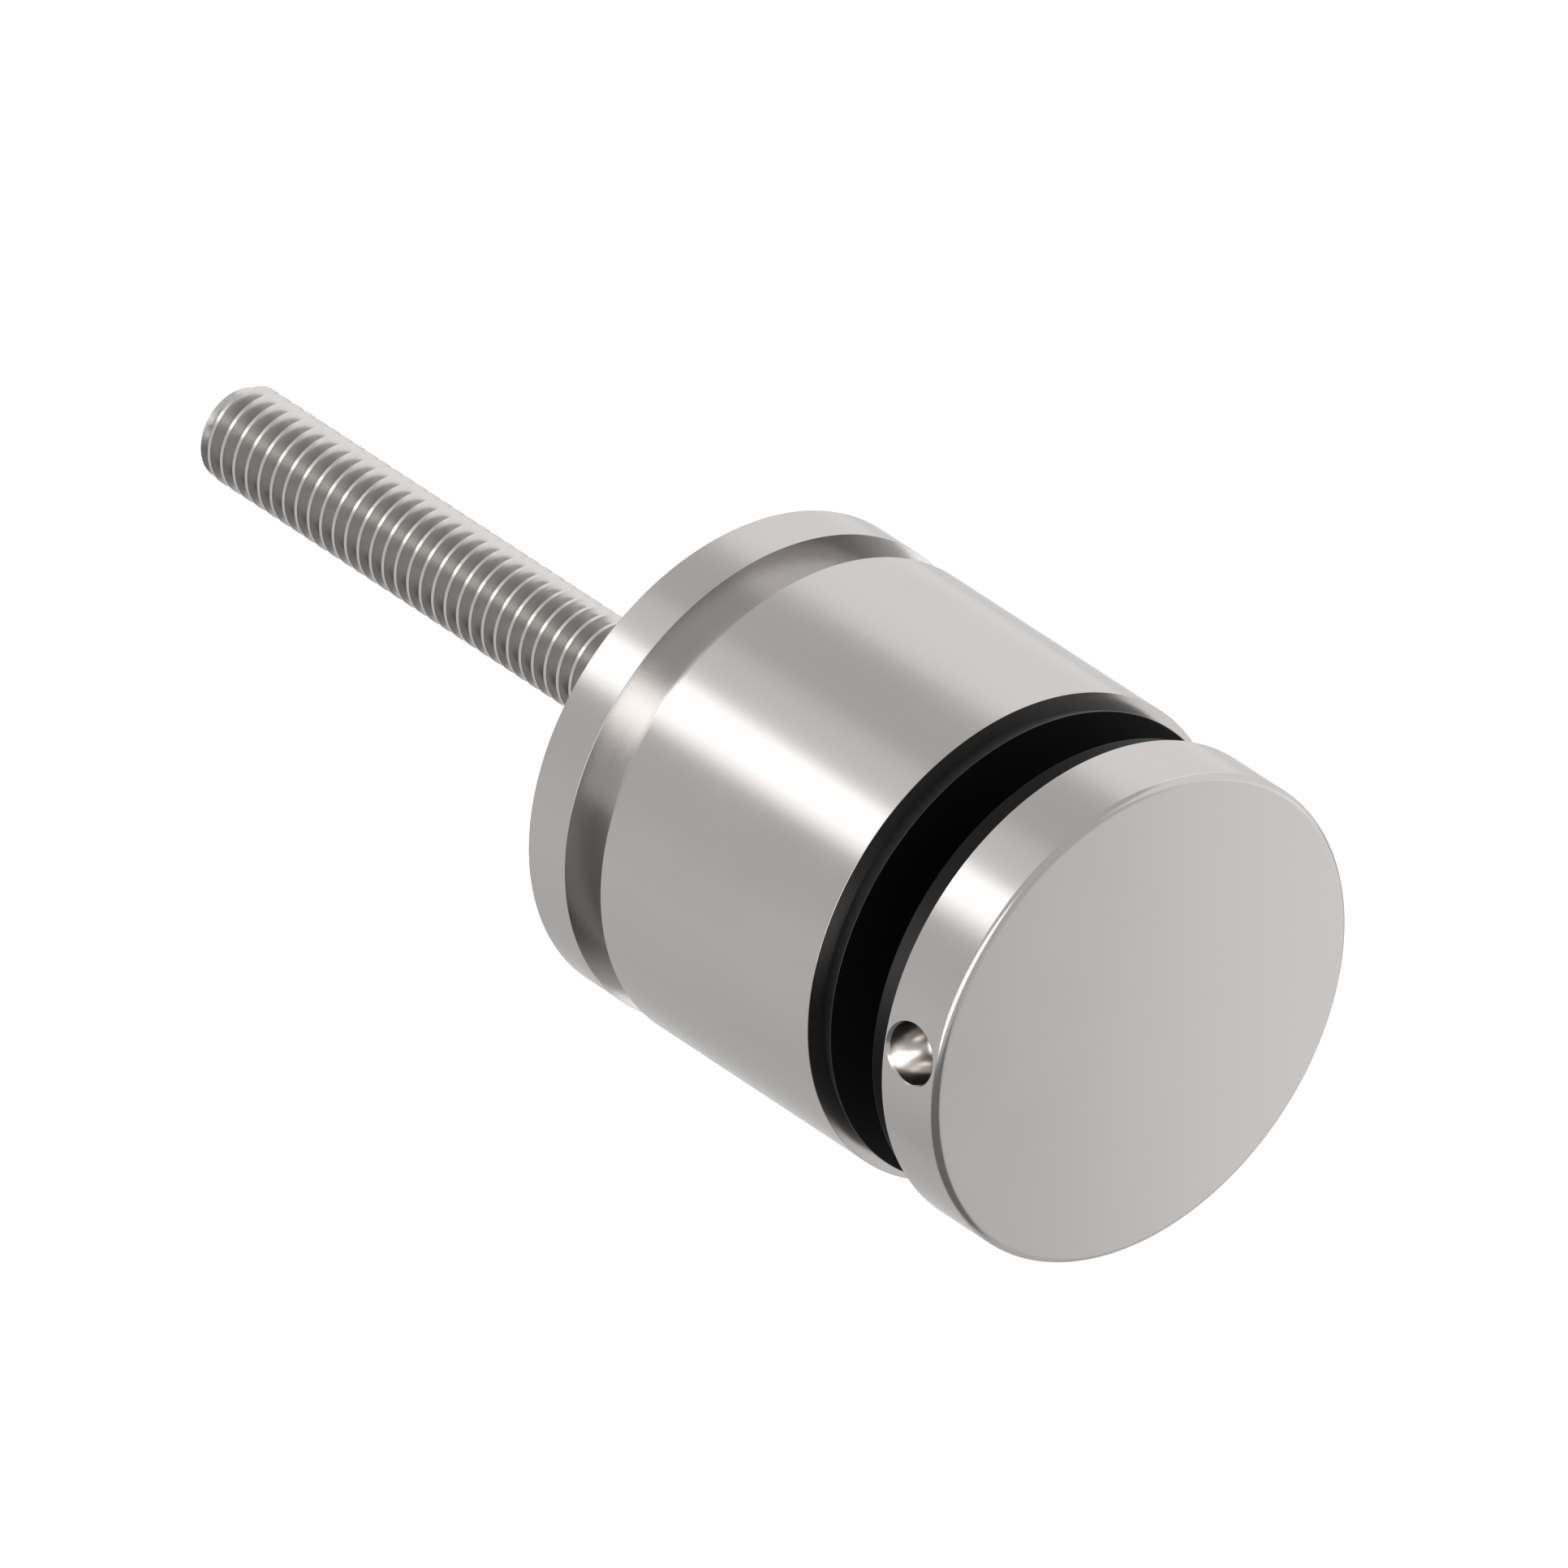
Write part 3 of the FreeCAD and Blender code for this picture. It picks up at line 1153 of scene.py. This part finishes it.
def pale_world(level):
    """White surroundings to the eye and to metal, a little less on matt surfaces."""
    world = bpy.data.worlds.new("pale studio")
    bpy.context.scene.world = world
    world.use_nodes = True
    tree = world.node_tree
    background = tree.nodes["Background"]
    background.inputs["Color"].default_value = (1.0, 1.0, 1.0, 1.0)
    strength = node_at(tree, "ShaderNodeMapRange", -200, -100)
    strength.inputs["To Min"].default_value = level
    strength.inputs["To Max"].default_value = 1.0
    tree.links.new(seen_directly(tree, -900, -100), strength.inputs["Value"])
    tree.links.new(strength.outputs["Result"], background.inputs["Strength"])


def floor_material():
    """Pale matt floor that reads as white, keeps the shadow and is clear from below."""
    material, tree = new_material("pale floor")
    tree.nodes.remove(tree.nodes["Principled BSDF"])
    matt = node_at(tree, "ShaderNodeBsdfDiffuse", -200, 100)
    matt.inputs["Color"].default_value = (FLOOR_GREY, FLOOR_GREY, FLOOR_GREY, 1.0)
    glow = node_at(tree, "ShaderNodeEmission", -200, -100)
    lift = node_at(tree, "ShaderNodeMath", -400, -200, operation="MULTIPLY")
    lift.inputs[1].default_value = FLOOR_LIFT
    both = node_at(tree, "ShaderNodeAddShader", 50, 0)
    side = node_at(tree, "ShaderNodeNewGeometry", 50, 300)
    clear = node_at(tree, "ShaderNodeBsdfTransparent", 50, -200)
    shown = node_at(tree, "ShaderNodeMixShader", 250, 0)
    join = tree.links.new
    join(seen_directly(tree, -1100, -200), lift.inputs[0])
    join(lift.outputs[0], glow.inputs["Strength"])
    join(matt.outputs[0], both.inputs[0])
    join(glow.outputs[0], both.inputs[1])
    join(side.outputs["Backfacing"], shown.inputs[0])
    join(both.outputs[0], shown.inputs[1])
    join(clear.outputs[0], shown.inputs[2])
    join(shown.outputs[0], tree.nodes["Material Output"].inputs["Surface"])
    return material


def lay_floor(drop):
    """Flat floor at a distance below the fixing."""
    mesh = bmesh.new()
    bmesh.ops.create_grid(mesh, x_segments=2, y_segments=2, size=FLOOR_REACH)
    level = Vector((0.0, 0.0, cad_box[0].z - drop))
    bmesh.ops.translate(mesh, vec=level, verts=mesh.verts)
    floor = as_object("floor", mesh)
    floor.data.materials.append(floor_material())


def hang_lamps(centre):
    """Lamps round the fixing, and the cards that its cap mirrors."""
    softbox(
        "key",
        place=(-142.3, 35.6),
        distance=1.2,
        size=(0.26, 0.36),
        level=3.2,
        target=centre,
    )
    softbox(
        "fill",
        place=(136.0, 8.5),
        distance=1.5,
        size=(0.95, 1.95),
        level=0.79,
        target=centre,
    )
    softbox(
        "glow",
        place=(-158.0, 45.0),
        distance=1.2,
        size=(0.42, 0.42),
        level=0.45,
        target=centre,
        matt=False,
    )
    cap = AXIS * span("cap")[1]
    beside_cap = cap + Vector((0.081, 0.03, 0.0))
    softbox(
        "left",
        place=(-82.0, 20.0),
        distance=0.55,
        size=(0.24, 0.90),
        level=4.2,
        target=cap,
        roll=-55.0,
        matt=False,
    )
    softbox(
        "right",
        place=(78.0, 17.0),
        distance=0.6,
        size=(1.15, 0.85),
        level=0.68,
        target=cap,
        matt=False,
    )
    softbox(
        "low",
        place=(39.64, -32.75),
        distance=0.20,
        size=(0.16, 0.16),
        level=0.66,
        target=beside_cap,
        matt=False,
    )
    dark_card(
        "dark card",
        place=(-66.0, -46.0),
        distance=0.26,
        size=(0.62, 0.39),
        level=0.32,
        target=cap,
    )


class STANDOFF_OT_stage(bpy.types.Operator):
    """Lay the pale floor, hang the soft lamps and set up the camera"""

    bl_idname = "standoff.stage"
    bl_label = "Stage"

    camera_azimuth: FloatProperty(
        name="Camera azimuth",
        description="Angle of the camera round the fixing, in degrees from the cap's front",
        default=-40.04,
    )
    camera_elevation: FloatProperty(
        name="Camera elevation",
        description="Angle of the camera above the horizon, in degrees",
        default=33.28,
    )
    lens: FloatProperty(
        name="Lens",
        description="Focal length in millimetres, long enough to look almost parallel",
        default=1500.0,
    )
    picture_width: FloatProperty(
        name="Picture width",
        description="Width of the view at the fixing",
        default=0.1458,
        unit="LENGTH",
        precision=4,
    )
    aim: FloatVectorProperty(
        name="Aim",
        description="Point in the middle of the picture",
        default=(0.00017, -0.00693, 0.0001),
        subtype="TRANSLATION",
        unit="LENGTH",
        precision=5,
    )

    def execute(self, context):
        scene = context.scene
        stage = scene.standoff_stage
        centre = Vector(self.aim)
        pale_world(stage.world_level)
        lay_floor(stage.floor_drop)
        hang_lamps(centre)
        data = bpy.data.cameras.new("camera")
        data.lens = self.lens
        data.clip_start = CAMERA_NEAR
        data.clip_end = CAMERA_FAR
        camera = bpy.data.objects.new("camera", data)
        scene.collection.objects.link(camera)
        away = self.picture_width * self.lens / data.sensor_width
        towards = direction(self.camera_azimuth, self.camera_elevation)
        camera.location = centre + towards * away
        look_at(camera, centre)
        scene.camera = camera
        scene.view_settings.view_transform = "Standard"
        return {"FINISHED"}


class STANDOFF_PT_panel(bpy.types.Panel):
    """Lists the pieces of the standoff"""

    bl_idname = "STANDOFF_PT_panel"
    bl_label = "Glass panel standoff"
    bl_space_type = "VIEW_3D"
    bl_region_type = "UI"
    bl_category = "Standoff"

    def draw(self, context):
        layout = self.layout
        for operator in OPERATORS:
            layout.operator(operator.bl_idname)
        for group in ("standoff_sizes", "standoff_finish", "standoff_stage"):
            settings = getattr(context.scene, group)
            box = layout.box()
            for name in settings.__annotations__:
                box.prop(settings, name)


SETTINGS = (StandoffSizes, StandoffFinish, StandoffStage)
OPERATORS = (
    STANDOFF_OT_base_flange,
    STANDOFF_OT_studs,
    STANDOFF_OT_spacer,
    STANDOFF_OT_gaskets,
    STANDOFF_OT_glass_bush,
    STANDOFF_OT_cap,
    STANDOFF_OT_stage,
)


def register():
    """Add the settings, the operators and the panel."""
    for cls in SETTINGS + OPERATORS + (STANDOFF_PT_panel,):
        bpy.utils.register_class(cls)
    bpy.types.Scene.standoff_sizes = PointerProperty(type=StandoffSizes)
    bpy.types.Scene.standoff_finish = PointerProperty(type=StandoffFinish)
    bpy.types.Scene.standoff_stage = PointerProperty(type=StandoffStage)


def unregister():
    """Take them out again."""
    del bpy.types.Scene.standoff_stage
    del bpy.types.Scene.standoff_finish
    del bpy.types.Scene.standoff_sizes
    for cls in reversed(SETTINGS + OPERATORS + (STANDOFF_PT_panel,)):
        bpy.utils.unregister_class(cls)


def main():
    """Build every piece and the stage."""
    register()
    bpy.ops.standoff.base_flange()
    bpy.ops.standoff.studs()
    bpy.ops.standoff.spacer()
    bpy.ops.standoff.gaskets()
    bpy.ops.standoff.glass_bush()
    bpy.ops.standoff.cap()
    bpy.ops.standoff.stage()


if __name__ == "__main__":
    main()
